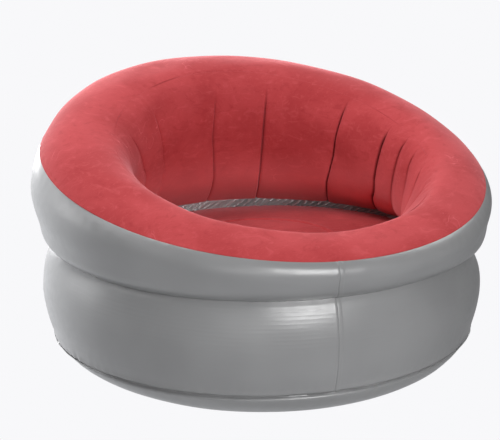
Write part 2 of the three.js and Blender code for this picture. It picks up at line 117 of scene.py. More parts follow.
# Gathers of the inner wall: depth, how much painted shade darkens the crease, which side laps over (1 for the
# side of larger turns, -1 for the other), and the course as pairs of knot and turn in degrees
CREASES = (
    (11, 0.05, 1, ((4.25, -179), (4.67, -177), (5.12, -179), (6.5, -183), (7, -184))),
    (13, 0.15, 1, ((4.3, -134), (4.65, -141), (5.08, -148.5), (5.65, -150.5), (6.07, -151.5), (7, -155))),
    (16, 0.75, 1, ((4.3, -107.5), (4.65, -118.7), (5.08, -132.2), (5.45, -134.7), (7, -141))),
    (8, 0.4, 1, ((4.4, -95), (5, -101), (6, -106), (7, -112))),
    (8, 0.4, 1, ((4.4, -72), (5, -75), (7, -82))),
    (7, 0.4, 1, ((4.4, -45), (7, -48))),
    (7, 0.4, 1, ((4.4, -15), (7, -15))),
    (7, 0.4, -1, ((4.4, 14), (7, 16))),
    (10, 0.6, -1, ((4.18, 51), (4.4, 42.5), (4.7, 37), (6, 40), (7, 49))),
    (16, 0.9, -1, ((4.22, 61), (4.42, 58.5), (4.65, 53.5), (4.9, 48), (6, 53), (7, 66))),
    (22, 1, -1, ((4.16, 71), (4.35, 69.5), (4.75, 67.5), (4.87, 63.5), (5.2, 62.5), (6, 67), (7, 84))),
    (22, 1, -1, ((4.1, 79), (4.47, 78.6), (4.9, 78.6), (5.17, 78.4), (5.88, 80), (7, 97))),
    (18, 1, -1, ((4.15, 89), (4.7, 90.5), (5, 92.5), (5.6, 94), (6.82, 107), (7, 109))),
    (14, 0.6, -1, ((4.05, 112.5), (4.42, 113.5), (4.86, 117.5), (5.4, 120.5), (5.9, 123.5), (7, 130.3))),
    (10, 0.4, 1, ((4.2, 152), (4.95, 155), (6.53, 157), (7, 157.5))),
)
CREASE_CORE = 2.8
CREASE_SIDES = (13, 30)
CREASE_ROUNDING = 0.24
CREASE_HOME_KNOT = 4.9

# Lap weld of the grey wall
LAP_TURN = -7.6
LAP_SHIFT = -1.0
LAP_WIDTH = 9
LAP_GROOVE = 1.1
LAP_RIDGE = 0.7
LAP_TOP = 330


# Small helpers

def wrapped(degrees):
    return (degrees + 180) % 360 - 180


def hump(distance, width):
    return np.exp(-(distance / width) ** 2)


def valley(distance, width):
    return np.exp(-np.abs(distance) / width)


def smooth(value, low, high):
    share = np.clip((value - low) / (high - low), 0, 1)
    return share ** 2 * (3 - 2 * share)


def waves(turn, along, cycles, lengths, seed, count=16, slant=0):
    """Sum of random waves of about unit size. cycles is (fewest, most) waves round the chair, and lengths the
    (shortest, longest) wave along the section in millimetres. slant shifts the waves as they run along."""
    random = np.random.default_rng(seed)
    total = np.zeros(np.broadcast(turn, along).shape)
    for _ in range(count):
        cycle = random.integers(cycles[0], cycles[1] + 1) * random.choice((-1, 1))
        pitch = random.uniform(*lengths) * random.choice((-1, 1))
        phase = random.uniform(0, 2 * math.pi)
        total += np.cos(cycle * turn + 2 * math.pi * along / pitch + phase + slant * cycle * along)
    return total * math.sqrt(2 / count)


def puckers(size, reach, turn, along, from_weld, cycles, seed, lengths=(60, 160), calm=5, count=24):
    """Waves that are calm on a weld, rise beside it and fade over the reach."""
    strength = size * np.exp(-from_weld / reach) * smooth(from_weld, 0, calm)
    return strength * waves(turn, along, cycles, lengths, seed, count)


# The chair's section

def around(pair, turn):
    return pair[0] + (pair[1] - pair[0]) * (1 - np.cos(turn)) / 2


def upper_knots(turn):
    radii = np.array([around(pair, turn) for pair in KNOT_RADII])
    heights = np.array([around(pair, turn) for pair in KNOT_HEIGHTS])
    return radii, heights + np.outer(KNOT_SIDE_LIFTS, np.sin(turn) ** 2)


def knot_stations():
    radii, heights = upper_knots(np.radians(np.arange(0, 360, 7.5)))
    spans = np.hypot(np.diff(radii, axis=0), np.diff(heights, axis=0)).mean(1)
    return np.concatenate([[0], np.cumsum(spans)])


STATIONS = knot_stations()


def spline_bends(values):
    """Second derivatives of the natural cubic spline through values at the stations, one column per turn."""
    gaps = np.diff(STATIONS)
    slopes = np.diff(values, axis=0) / gaps[:, None]
    matrix = np.diag(2 * (gaps[:-1] + gaps[1:])) + np.diag(gaps[1:-1], 1) + np.diag(gaps[1:-1], -1)
    bends = np.zeros_like(values)
    bends[1:-1] = np.linalg.solve(matrix, 6 * np.diff(slopes, axis=0))
    return bends


def spline_at(values, knots):
    """Values of the spline at knots, whose rows are knot numbers and columns are turns."""
    bends = spline_bends(values)
    span = np.clip(np.floor(knots).astype(int), 0, FOOT_KNOT - 1)
    share = knots - span
    rest = 1 - share
    width = np.diff(STATIONS)[span]

    def pick(table, rows):
        return np.take_along_axis(table, rows, axis=0)

    straight = rest * pick(values, span) + share * pick(values, span + 1)
    bent = (rest ** 3 - rest) * pick(bends, span) + (share ** 3 - share) * pick(bends, span + 1)
    return straight + bent * width ** 2 / 6


def upper_section(turn, knots):
    """Radius and height of the upper ring for one row of turns and a grid of knots."""
    return tuple(spline_at(table, knots) for table in upper_knots(turn[0]))


def leaning_section(turn, knots):
    """Radius and height where the turn changes along a column, by the spline of each cell's own turn."""
    knots = knots + 0 * turn
    rows = [upper_section(turn[[row]], knots[[row]]) for row in range(len(turn))]
    return tuple(np.vstack(part) for part in zip(*rows))


def distance_along(radius, height):
    """How far each row of a grid lies along the section from its first row."""
    steps = np.hypot(np.diff(radius, axis=0), np.diff(height, axis=0))
    return np.vstack([0 * radius[:1], np.cumsum(steps, axis=0)])


def through_point(start, middle, end, share):
    """A curve that passes the middle value halfway."""
    rest = 1 - share
    return rest * (rest - share) * start + 4 * share * rest * middle + share * (share - rest) * end


def base_weld_height(turn):
    return BASE_WELD_HEIGHT + BASE_WELD_TILT * np.cos(turn)


def band_drop(turn):
    """Height of the band that shows: the seat swells up against the foot at the sides."""
    return BAND_SIDE_DROP + (BAND_DROP - BAND_SIDE_DROP) * np.abs(np.cos(turn)) ** 1.2


def foot_point(turn):
    return np.full_like(turn, KNOT_RADII[FOOT_KNOT][0]), around(KNOT_HEIGHTS[FOOT_KNOT], turn)


# Grids and meshes

def swept(radius, height, turn):
    return np.stack(np.broadcast_arrays(radius * np.sin(turn), -radius * np.cos(turn), height), axis=-1)


def numbered(rows, columns):
    """Point numbers of a grid whose rows close on themselves, and the number after each."""
    index = np.arange(rows * columns).reshape(rows, columns)
    return index, np.roll(index, -1, axis=1)


def quads(*corners):
    return np.stack(corners, axis=-1).reshape(-1, 4)


def grid_normals(grid):
    """Normals of a grid that closes on itself. Rows run so that they point at the side that shows."""
    along = np.gradient(grid, axis=0)
    wide = np.concatenate([grid[:, -1:], grid, grid[:, :1]], axis=1)
    across = (wide[:, 2:] - wide[:, :-2]) / 2
    normal = np.cross(across, along)
    return normal / np.maximum(np.linalg.norm(normal, axis=-1, keepdims=True), 1e-9)


def closed_sheet(name, grid, thickness, material, painted_fold_shade=None):
    """A film whose face is the grid and whose back lies one thickness behind it. painted_fold_shade tells the
    material how much painted shade each point gets in a crease, from 0 to 1."""
    back = grid - grid_normals(grid) * thickness
    index, after = numbered(*grid.shape[:2])
    count = index.size
    face = quads(index[:-1], after[:-1], after[1:], index[1:])
    first = quads(index[0], index[0] + count, after[0] + count, after[0])
    last = quads(index[-1], after[-1], after[-1] + count, index[-1] + count)
    points = np.concatenate([grid.reshape(-1, 3), back.reshape(-1, 3)]) * MM
    faces = np.concatenate([face, face[:, ::-1] + count, first, last])
    piece = mesh_object(name, points, faces.tolist(), material)
    if painted_fold_shade is not None:
        values = piece.data.attributes.new("fold", "FLOAT", "POINT")
        values.data.foreach_set("value", np.tile(painted_fold_shade.reshape(-1), 2).astype(np.float32))
    return piece


def mesh_object(name, points, faces, material=None, smooth_shading=True):
    """An object from points in metres. A point that a face names twice is one corner."""
    mesh = bpy.data.meshes.new(name)
    mesh.from_pydata(points.tolist(), [], [tuple(dict.fromkeys(face)) for face in faces])
    mesh.validate()
    if smooth_shading:
        mesh.shade_smooth()
    if material:
        mesh.materials.append(material)
    return linked(name, mesh)


def linked(name, data):
    made = bpy.data.objects.new(name, data)
    bpy.context.scene.collection.objects.link(made)
    return made


def aimed(name, data, place, target):
    """An object at a place in metres that looks at the target."""
    made = linked(name, data)
    made.location = place
    made.rotation_mode = "QUATERNION"
    made.rotation_quaternion = (target - made.location).to_track_quat("-Z", "Y")
    return made


def even_turns(columns):
    return np.radians(np.linspace(-180, 180, columns, endpoint=False))[None, :]


def mixed_turns(columns, close, gap):
    """Turns in degrees: close ones, and even ones that lie further than the gap from them."""
    even = np.linspace(-180, 180, columns, endpoint=False)
    far = np.abs(wrapped(even[:, None] - close[None, :])).min(1) > gap
    return np.sort(wrapped(np.concatenate([close, even[far]])))


# Materials

def new_material(name):
    material = bpy.data.materials.new(name)
    material.use_nodes = True
    tree = material.node_tree
    return material, tree, tree.nodes["Principled BSDF"]


def settle(node, settings):
    for key, value in settings.items():
        node.inputs[key].default_value = value


def place(tree, stretch=(1, 1, 1)):
    """Object coordinates in metres, stretched along each axis."""
    source = tree.nodes.new("ShaderNodeTexCoord")
    mapping = tree.nodes.new("ShaderNodeMapping")
    mapping.inputs["Scale"].default_value = stretch
    tree.links.new(source.outputs["Object"], mapping.inputs["Vector"])
    return mapping.outputs["Vector"]


def noise(tree, vector, scale, detail, roughness, distortion=0.0):
    made = tree.nodes.new("ShaderNodeTexNoise")
    settle(made, {"Scale": scale, "Detail": detail, "Roughness": roughness, "Distortion": distortion})
    tree.links.new(vector, made.inputs["Vector"])
    return made.outputs["Fac"]


def height_of(tree, vector):
    parts = tree.nodes.new("ShaderNodeSeparateXYZ")
    tree.links.new(vector, parts.inputs["Vector"])
    return parts.outputs["Z"]


def levels(tree, value, low, high, out_low=0.0, out_high=1.0):
    made = tree.nodes.new("ShaderNodeMapRange")
    made.interpolation_type = "SMOOTHSTEP"
    settle(made, {"From Min": low, "From Max": high, "To Min": out_low, "To Max": out_high})
    tree.links.new(value, made.inputs["Value"])
    return made.outputs["Result"]


def maths(tree, operation, first, second):
    made = tree.nodes.new("ShaderNodeMath")
    made.operation = operation
    for socket, value in zip(made.inputs, (first, second)):
        if isinstance(value, (int, float)):
            socket.default_value = value
        else:
            tree.links.new(value, socket)
    return made.outputs["Value"]


def blended(tree, factor, first, second):
    """Mixes two colours, each a tuple or a socket."""
    made = tree.nodes.new("ShaderNodeMix")
    made.data_type = "RGBA"
    tree.links.new(factor, made.inputs["Factor"])
    for key, value in (("A", first), ("B", second)):
        socket = next(s for s in made.inputs if s.name == key and s.type == "RGBA")
        if isinstance(value, tuple):
            socket.default_value = (*value, 1)
        else:
            tree.links.new(value, socket)
    return next(s for s in made.outputs if s.type == "RGBA")


def bumped(tree, height, distance, strength, before=None):
    made = tree.nodes.new("ShaderNodeBump")
    settle(made, {"Strength": strength, "Distance": distance})
    tree.links.new(height, made.inputs["Height"])
    if before is not None:
        tree.links.new(before, made.inputs["Normal"])
    return made.outputs["Normal"]


FLOCK_TONES = ((0.33, 0.031, 0.035), (0.43, 0.050, 0.054), (0.50, 0.066, 0.071), (0.61, 0.106, 0.113))
SCUFF_TONE = (0.80, 0.20, 0.22)
# Painted light: the pale tone that lightens the lower part of the well
PAINTED_WELL_LIGHT = (0.88, 0.19, 0.20)
# Painted shade: the dark tone laid into the inner wall's creases
PAINTED_FOLD_SHADE = (0.05, 0.005, 0.006)


def flock_material(name="red_flock", light=1.0, painted_light_heights=None, paint_fold_shade=False):
    """Red flock: short pile with brushed patches, fine grain and pale scuffs. painted_light_heights is the
    (upper, lower) height in metres between which painted light makes the nap lighter towards the bottom of
    the well.
    paint_fold_shade paints shade where the mesh's fold attribute is high."""
    material, tree, shader = new_material(name)
    plain = place(tree)
    patches = noise(tree, plain, 7, 3, 0.55, 0.4)
    brushed = noise(tree, place(tree, (1.0, 1.0, 2.2)), 26, 4, 0.6, 1.2)
    pile = noise(tree, plain, 1100, 1, 0.5)
    strokes = noise(tree, place(tree, (1.0, 2.6, 0.8)), 70, 3, 0.6, 1.6)
    # light scales every tone; above 1 it is painted light
    deep, plain_red, bright, pale = (tuple(light * value for value in tone) for tone in FLOCK_TONES)
    colour = blended(tree, levels(tree, patches, 0.38, 0.62), plain_red, bright)
    layers = ((brushed, 0.54, 0.72, 0.42, pale), (brushed, 0.46, 0.30, 0.36, deep),
              (strokes, 0.56, 0.72, 0.34, pale), (strokes, 0.42, 0.30, 0.24, deep))
    for pattern, begins, full, most, tone in layers:
        colour = blended(tree, levels(tree, pattern, begins, full, 0, most), colour, tone)
    thread = noise(tree, plain, 17, 2, 0.5, 0.6)
    line = levels(tree, maths(tree, "ABSOLUTE", maths(tree, "SUBTRACT", thread, 0.5), 0), 0.006, 0.001)
    where = levels(tree, noise(tree, plain, 9, 1, 0.5), 0.62, 0.70)
    scuff = maths(tree, "MULTIPLY", maths(tree, "MULTIPLY", line, where), 0.5)
    colour = blended(tree, scuff, colour, SCUFF_TONE)
    colour = blended(tree, levels(tree, pile, 0.3, 0.7, 0, 0.14), colour, deep)
    # Painted light: the nap gets lighter towards the bottom of the well, where it lies in shade
    if painted_light_heights:
        colour = blended(tree, levels(tree, height_of(tree, plain), *painted_light_heights, 0, 0.75), colour, PAINTED_WELL_LIGHT)
    # Painted shade: the colour turns dark where the mesh's fold attribute marks a crease
    if paint_fold_shade:
        fold = tree.nodes.new("ShaderNodeAttribute")
        fold.attribute_name = "fold"
        colour = blended(tree, fold.outputs["Fac"], colour, PAINTED_FOLD_SHADE)
    tree.links.new(colour, shader.inputs["Base Color"])
    normal = bumped(tree, pile, 0.0004, 0.35)
    normal = bumped(tree, noise(tree, plain, 160, 3, 0.6), 0.0006, 0.25, normal)
    tree.links.new(normal, shader.inputs["Normal"])
    settle(shader, {"Roughness": 0.95, "Specular IOR Level": 0.15, "Sheen Weight": 0.32,
                    "Sheen Roughness": 0.35, "Sheen Tint": (1.0, 0.52, 0.56, 1)})
    return material


GREY_TONES = ((0.235, 0.235, 0.237), (0.265, 0.265, 0.267))


def grey_material(name="grey_film", light=1.0):
    """Grey satin film: a soft gloss that varies a little, and long faint ripples."""
    material, tree, shader = new_material(name)
    plain = place(tree)
    clouds = noise(tree, plain, 5, 2, 0.5)
    # light scales both tones; above 1 it is painted light
    dark, pale = (tuple(light * value for value in tone) for tone in GREY_TONES)
    colour = blended(tree, levels(tree, clouds, 0.3, 0.7), dark, pale)
    tree.links.new(colour, shader.inputs["Base Color"])
    long_ripples = noise(tree, place(tree, (0.10, 0.10, 1.0)), 105, 2, 0.5, 0.2)
    normal = bumped(tree, long_ripples, 0.0008, 0.3)
    tree.links.new(normal, shader.inputs["Normal"])
    gloss = levels(tree, noise(tree, plain, 60, 3, 0.6), 0.3, 0.7, 0.29, 0.36)
    tree.links.new(gloss, shader.inputs["Roughness"])
    shader.inputs["Specular IOR Level"].default_value = 1.0
    return material


def moulded_material(name, colour, roughness, grain):
    material, tree, shader = new_material(name)
    plain = place(tree)
    cloud = noise(tree, plain, 90, 3, 0.6)
    darker = tuple(0.8 * value for value in colour)
    tree.links.new(blended(tree, levels(tree, cloud, 0.3, 0.7), darker, colour), shader.inputs["Base Color"])
    tree.links.new(bumped(tree, noise(tree, plain, 1600, 2, 0.5), grain, 0.5), shader.inputs["Normal"])
    wear = levels(tree, cloud, 0.3, 0.7, roughness - 0.05, roughness + 0.07)
    tree.links.new(wear, shader.inputs["Roughness"])
    return material


RED_FLOCK = flock_material()
# The well's flock, with painted light lightening its lower part and painted shade darkening its creases
WELL_FLOCK_PAINTED_SHADING = flock_material("well_flock_painted_shading", 1.0, (0.43, 0.28), True)
# Painted light: the same flock 1.15 times lighter, for the seat that lies in the well's shade
SEAT_FLOCK_PAINTED_LIGHT = flock_material("seat_flock_painted_light", 1.15)
GREY_SATIN = grey_material()
# Painted light: the same grey film 1.4 times lighter, for the band and ring that lie in shade under the inner
# wall
BAND_GREY_PAINTED_LIGHT = grey_material("band_film_painted_light", 1.4)
BEAM_FILM = moulded_material("beam_film", (0.33, 0.34, 0.36), 0.42, 0.00004)
MOULDING = moulded_material("valve_moulding", (0.045, 0.047, 0.052), 0.42, 0.00005)
RUBBER = moulded_material("soft_rubber", (0.016, 0.016, 0.018), 0.75, 0.00008)


# Films

def outer_wall():
    """The grey wall of both chambers, with its waist, lap weld, ripples and puckers."""
    turn = wall_turns()
    weld_height = base_weld_height(turn) + (CLEARANCE + GREY_FILM) / 2
    far = np.linspace(0.5, 1, 34)[1:]
    share = np.concatenate([NEAR_WELD_SHARES, np.linspace(0.1, 0.5, 10), far])[:, None]
    low_radius = through_point(BASE_WELD_RADIUS, LOWER_BULGE[0], WAIST_RADIUS, share) + 0 * turn
    low_height = through_point(weld_height, LOWER_BULGE[1], WAIST_HEIGHT - WELD_WIDTH / 2, share)
    knots = np.concatenate([(0, 0.03, 0.07, 0.12, 0.18, 0.25), np.linspace(0.33, 1.93, 32), (1.965, 1.998)])
    knots = knots[:, None]
    up_radius, up_height = upper_section(turn, knots + 0 * turn)
    radius = np.vstack([low_radius, np.full_like(turn, WAIST_RADIUS), up_radius])
    height = np.vstack([low_height, np.full_like(turn, WAIST_HEIGHT), up_height])
    shift = LAP_SHIFT * smooth(height, WAIST_HEIGHT, LAP_TOP) * hump(np.degrees(turn) - LAP_TURN, 8)
    course = turn + np.radians(shift)
    base = swept(radius, height, course)
    normal = grid_normals(base)
    rows = distance_along(radius, height)
    left = rows[-1:] - rows
    lift = wall_ripples(turn, height, rows, left) + wall_forms(turn, height, left)
    grid = base + normal * lift[..., None] + swept(-waist_pull(turn, height), 0, course)
    grid = np.concatenate([base_fin(grid, turn, 1), grid, behind(grid[-1:], normal[-1:])])
    wall = closed_sheet("outer_wall_film", grid, GREY_FILM, GREY_SATIN)
    cut_away(wall, cylinder_cutter(NECK_RADIUS + CLEARANCE, 30, (0, VALVE_FACE, VALVE_HEIGHT), "Y"))
    wall.data.set_sharp_from_angle(angle=math.radians(60))
    return wall


def wall_turns():
    """Turns of the wall's columns, closer at the lap weld."""
    near = np.array([0, 0.08, 0.16, 0.25, 0.36, 0.5, 0.7, 0.85, 1.0, 1.15, 1.4])
    close = LAP_TURN + np.unique(np.concatenate([near, -near[:7]]))
    return np.radians(mixed_turns(460, close, 0.25))[None, :]


def waist_pull(turn, height):
    """How far the weld of the divider draws the wall in at the waist."""
    gap = height - WAIST_HEIGHT
    side = sum(pull * hump(wrapped(np.degrees(turn) - at), reach) for at, reach, pull in WAIST_PULLS)
    return (6.5 + side) * valley(gap, 6.5) + (1.0 + 0.5 * side) * hump(gap, 18)


def wall_ripples(turn, height, from_base, from_rim):
    """Ripples, puckers and the lap weld, in millimetres outwards. The wall is calm round the valve."""
    degrees = np.degrees(turn)
    front = hump(wrapped(degrees + 14), 30)
    under = WAIST_HEIGHT - height
    below_waist = smooth(under, 4, 12) * (1 - smooth(under, 60, 120))
    lift = 0.11 * below_waist * (0.35 + front) * waves(turn, height, (2, 14), (6.5, 9.5), 11, 18)
    lift += 0.35 * waves(turn, height, (2, 9), (60, 160), 12)
    lift += puckers(0.55, 16, turn, height, from_base, (60, 150), 13)
    lift += puckers(0.22, 20, turn, height, from_rim, (50, 130), 14)
    lift += 0.16 * valley(under, 12) * waves(turn, height, (40, 120), (40, 120), 15, 24)
    lap = np.radians(wrapped(degrees - LAP_TURN)) * LOWER_BULGE[0]
    lift += LAP_RIDGE * valley(lap, LAP_WIDTH * 1.6) - LAP_GROOVE * hump(lap + 1.1, 1.0)
    lift += GREY_FILM * smooth(lap, -0.8, 0.6) * (1 - smooth(lap, LAP_WIDTH - 1, LAP_WIDTH + 0.6))
    lift += 2.0 * hump(from_base - 5, 5) - 0.6 * np.exp(-from_rim / 5)
    from_valve = np.hypot(LOWER_BULGE[0] * np.sin(turn), height - VALVE_HEIGHT)
    return lift * np.where(np.cos(turn) < 0, smooth(from_valve, FLANGE_RADIUS + 2, 80), 1)


def wall_forms(turn, height, from_rim):
    """Broad swells and hollows of the two bulges, in millimetres outwards."""
    side = np.sin(turn) ** 2
    over = height - WAIST_HEIGHT
    lift = (WAIST_SAG[0] + (WAIST_SAG[1] - WAIST_SAG[0]) * side) * hump(over - SAG_OVER_WAIST, SAG_REACH)
    lift += DRUM_FULLNESS * side * hump(over + 118, 80)
    lift += BROW * (0.5 + 0.5 * np.cos(turn)) ** 4 * hump(from_rim - BROW_FROM_RIM, BROW_REACH)
    for at, reach, level, tall, out in WALL_FORMS:
        lift += out * hump(wrapped(np.degrees(turn) - at), reach) * hump(over - level, tall)
    return lift


def base_fin(grid, turn, side):
    """Rows of the base weld's fin before the grid's first one. side is 1 above the weld and -1 below it."""
    wave = 1.1 * waves(turn, 0 * turn, (9, 40), (100, 200), 21, 20)
    reach = FIN_REACH + 0.4 * waves(turn, 0 * turn, (5, 60), (100, 200), 22, 20)
    return np.concatenate([grid[:1] + swept(share * reach, wave * share ** 1.5 - side * 0.12, turn)
                           for share in FIN_SHARES])


FLANGE_DEPTHS = (1.2, 3.5, WELD_WIDTH)


def behind(edge, normal):
    """Rows that turn from an edge into the chamber, for the weld's flange."""
    return edge - normal * np.array(FLANGE_DEPTHS)[:, None, None]


def base_panel():
    """The underside: puckers at the weld, a round shoulder and the flat that it stands on."""
    turn = even_turns(360)
    weld_height = base_weld_height(turn) - (CLEARANCE + GREY_FILM) / 2
    share = np.concatenate([np.linspace(1, 0.1, 26), NEAR_WELD_SHARES[::-1]])[:, None]
    radius = through_point(BASE_WELD_RADIUS, BASE_SHOULDER[0], FLOOR_RADIUS, share) + 0 * turn
    height = through_point(weld_height, BASE_SHOULDER[1], 0, share)
    inner = np.linspace(0.6, FLOOR_RADIUS - 12, 26)[:, None]
    radius = np.vstack([inner + 0 * turn, radius])
    height = np.vstack([0 * inner + 0 * turn, height])
    base = swept(radius, height, turn)
    normal = grid_normals(base)
    from_weld = np.hypot(BASE_WELD_RADIUS - radius, weld_height - height)
    lift = puckers(0.7, 20, turn, from_weld, from_weld, (60, 150), 31)
    lift += 0.3 * smooth(height, 1, 20) * waves(turn, from_weld, (3, 14), (50, 120), 32)
    grid = base + normal * lift[..., None]
    grid[..., 2] = np.maximum(grid[..., 2], 0)
    tuck = CREVICE * smooth(from_weld, 0, 1.2) * (1 - smooth(from_weld, CREVICE_HEIGHT, 3 * CREVICE_HEIGHT))
    grid += swept(-tuck, 0, turn)
    grid = np.concatenate([grid, base_fin(grid[::-1], turn, -1)[::-1]])
    return closed_sheet("base_panel_film", grid, GREY_FILM, GREY_SATIN)


def rim_panel():
    """The flocked top of the ring, from the rim weld over the crest to the lip weld."""
    turn = even_turns(480)
    inner = np.linspace(RIM_WELD_KNOT + 0.07, LIP_WELD_KNOT - 0.06, 50)
    knots = np.concatenate([RIM_WELD_KNOT + np.array([0.001, 0.004, 0.012, 0.024, 0.04]), inner,
                            LIP_WELD_KNOT - np.array([0.035, 0.018, 0.004, 0.001])])[:, None]
    radius, height = upper_section(turn, knots + 0 * turn)
    base = swept(radius, height, turn)
    normal = grid_normals(base)
    rows = distance_along(radius, height)
    left = rows[-1:] - rows
    lift = 0.5 * waves(turn, rows, (2, 11), (70, 200), 41)
    lift += puckers(0.3, 16, turn, rows, rows, (40, 120), 42)
    lift += puckers(0.3, 18, turn, rows, left, (40, 110), 43)
    lift += 0.5 * hump(rows - 2.6, 1.8) - 0.15 * np.exp(-left / 4)
    grid = base + normal * lift[..., None]
    grid = np.concatenate([behind(grid[:1], normal[:1])[::-1], grid, behind(grid[-1:], normal[-1:])])
    return closed_sheet("rim_panel_flock", grid, FLOCKED_FILM, RED_FLOCK)


def crease_turns(knots):
    """Turn in degrees of each gather at each knot: one row per gather and one column per knot."""
    spread = np.linspace(-CREASE_ROUNDING, CREASE_ROUNDING, 7)
    return np.array([np.mean([np.interp(knots + step, *zip(*course)) for step in spread], axis=0)
                     for _, _, _, course in CREASES])


CREASE_HOMES = crease_turns(np.array([CREASE_HOME_KNOT]))[:, 0]


def crease_columns():
    """Turns of the inner wall's columns: even ones, and closer ones beside each gather."""
    near = np.array([0, 0.09, 0.2, 0.34, 0.5, 0.75, 1.1, 1.55, 2.1, 2.8, 3.6])
    beside = np.unique(np.concatenate([near, -near]))
    columns = mixed_turns(400, np.concatenate([home + beside for home in CREASE_HOMES]), 0.4)
    return columns[np.concatenate([[True], np.diff(columns) > 0.06])]


def leaned(columns, knots):
    """Turns in degrees of a grid whose columns follow the gathers as they lean."""
    order = np.argsort(CREASE_HOMES)
    homes = CREASE_HOMES[order]
    lean = (crease_turns(knots[:, 0]) - CREASE_HOMES[:, None])[order]
    loop = np.concatenate([[homes[-1] - 360], homes, [homes[0] + 360]])
    lean = np.concatenate([lean[-1:], lean, lean[:1]])
    return np.array([columns[0] + np.interp(columns[0], loop, row) for row in lean.T])


def inner_wall():
    """The flocked wall of the well, drawn in by gathers that lap over to one side."""
    columns = crease_columns()[None, :]
    inner = np.linspace(LIP_WELD_KNOT + 0.05, FOOT_KNOT - 0.03, 72)
    near_lip = LIP_WELD_KNOT + np.array([0.001, 0.004, 0.01, 0.024])
    knots = np.concatenate([near_lip, inner, [FOOT_KNOT]])[:, None]
    turn = np.radians(leaned(columns, knots))
    radius, height = leaning_section(turn, knots)
    base = swept(radius, height, turn)
    normal = grid_normals(base)
    rows = distance_along(radius, height)
    left = rows[-1:] - rows
    lift = 0.5 * waves(turn, rows, (2, 9), (90, 260), 51)
    painted_fold_shade = 0 * lift
    for (depth, shade, side, course), home in zip(CREASES, CREASE_HOMES):
        apart = np.radians(wrapped(columns - home)) * radius
        begins = course[0][0]
        grow = smooth(knots, begins - 0.1, begins + 0.55) * (1 - 0.35 * smooth(knots, 6.2, 7.0))
        fade = np.where(apart * side > 0, *CREASE_SIDES)
        lift -= depth * grow * (0.6 * valley(apart, CREASE_CORE) + 0.4 * valley(apart, fade))
        lift += 0.2 * depth * grow * hump(apart - side * 4.8, 3.2)
        # Painted shade: the side of each crease beyond its lapping edge is marked to be darkened in the
        # colour
        beyond = -apart * side
        inside = smooth(beyond, -3.5, -1.0) * (1 - smooth(beyond, 0.3, 2.5 + 6.5 * shade ** 3))
        painted_fold_shade = np.maximum(painted_fold_shade, shade * smooth(grow, 0.05, 0.7) * inside)
    lift += puckers(0.35, 30, turn, rows, rows, (40, 120), 52, (100, 260), 6)
    lift += puckers(0.6, 22, turn, rows, left, (30, 90), 53)
    lift += 1.6 * hump(left - 5, 5) - 0.15 * np.exp(-rows / 4)
    grid = base + normal * lift[..., None]
    out = np.array([3, WELD_WIDTH])[:, None, None]
    seat = grid[-1:] + out * swept(1, 0.25, turn[-1:])
    grid = np.concatenate([behind(grid[:1], normal[:1])[::-1], grid, seat])
    painted_fold_shade = np.concatenate([0 * painted_fold_shade[:3], painted_fold_shade, 0 * painted_fold_shade[:2]])
    return closed_sheet("inner_wall_flock", grid, FLOCKED_FILM, WELL_FLOCK_PAINTED_SHADING, painted_fold_shade)


def band():
    """The part of the divider that shows under the inner wall, with pleats that are deep on one side."""
    turn = even_turns(900)
    foot_radius, foot_height = foot_point(turn)
    share = np.concatenate([[-0.9, -0.45, -0.1], np.linspace(0, 1, 13), [1.12, 1.3]])[:, None]
    slope = (WAIST_HEIGHT - foot_height) / (WAIST_RADIUS - foot_radius)
    above = share < 0
    radius = np.where(above, foot_radius - share * 10, foot_radius + BAND_FLARE * share)
    height = np.where(above, foot_height - share * 10 * slope, foot_height - band_drop(turn) * share)
    base = swept(radius, height, turn)
    normal = -grid_normals(base)
    down = share * BAND_DROP
    strong = FEWEST_PLEATS + hump(wrapped(np.degrees(turn) - PLEAT_TURN), PLEAT_REACH)
    lift = PLEAT_DEPTH * strong * waves(turn, down, (95, 150), (200, 400), 61, 10, PLEAT_SLANT)
    lift += 0.7 * waves(turn, down, (150, 300), (60, 120), 62, 20)
    lift *= smooth(share, 0.02, 0.2) * (1 - smooth(share, 0.9, 1.05))
    grid = base + normal * lift[..., None]
    return closed_sheet("divider_band_film", grid[::-1], GREY_FILM, BAND_GREY_PAINTED_LIGHT)


def divider_ring():
    """The part of the divider inside the chambers, with its air holes."""
    turn = even_turns(240)
    foot_radius, foot_height = foot_point(turn)
    share = np.linspace(0.12, 1, 8)[:, None]
    edge = WAIST_RADIUS - 26
    radius = foot_radius + (edge - foot_radius) * share
    slope = (WAIST_HEIGHT - foot_height) / (WAIST_RADIUS - foot_radius)
    height = foot_height + slope * (radius - foot_radius)
    ring = closed_sheet("divider_ring_film", swept(radius, height, turn)[::-1], GREY_FILM, BAND_GREY_PAINTED_LIGHT)
    middle = (KNOT_RADII[FOOT_KNOT][0] + WAIST_RADIUS) / 2
    for number in range(AIR_HOLES):
        centre = swept(middle, WAIST_HEIGHT - BAND_DROP / 2, (number + 0.5) * 2 * math.pi / AIR_HOLES)
        cut_away(ring, cylinder_cutter(AIR_HOLE_RADIUS, 60, centre, "Z"))
    return ring


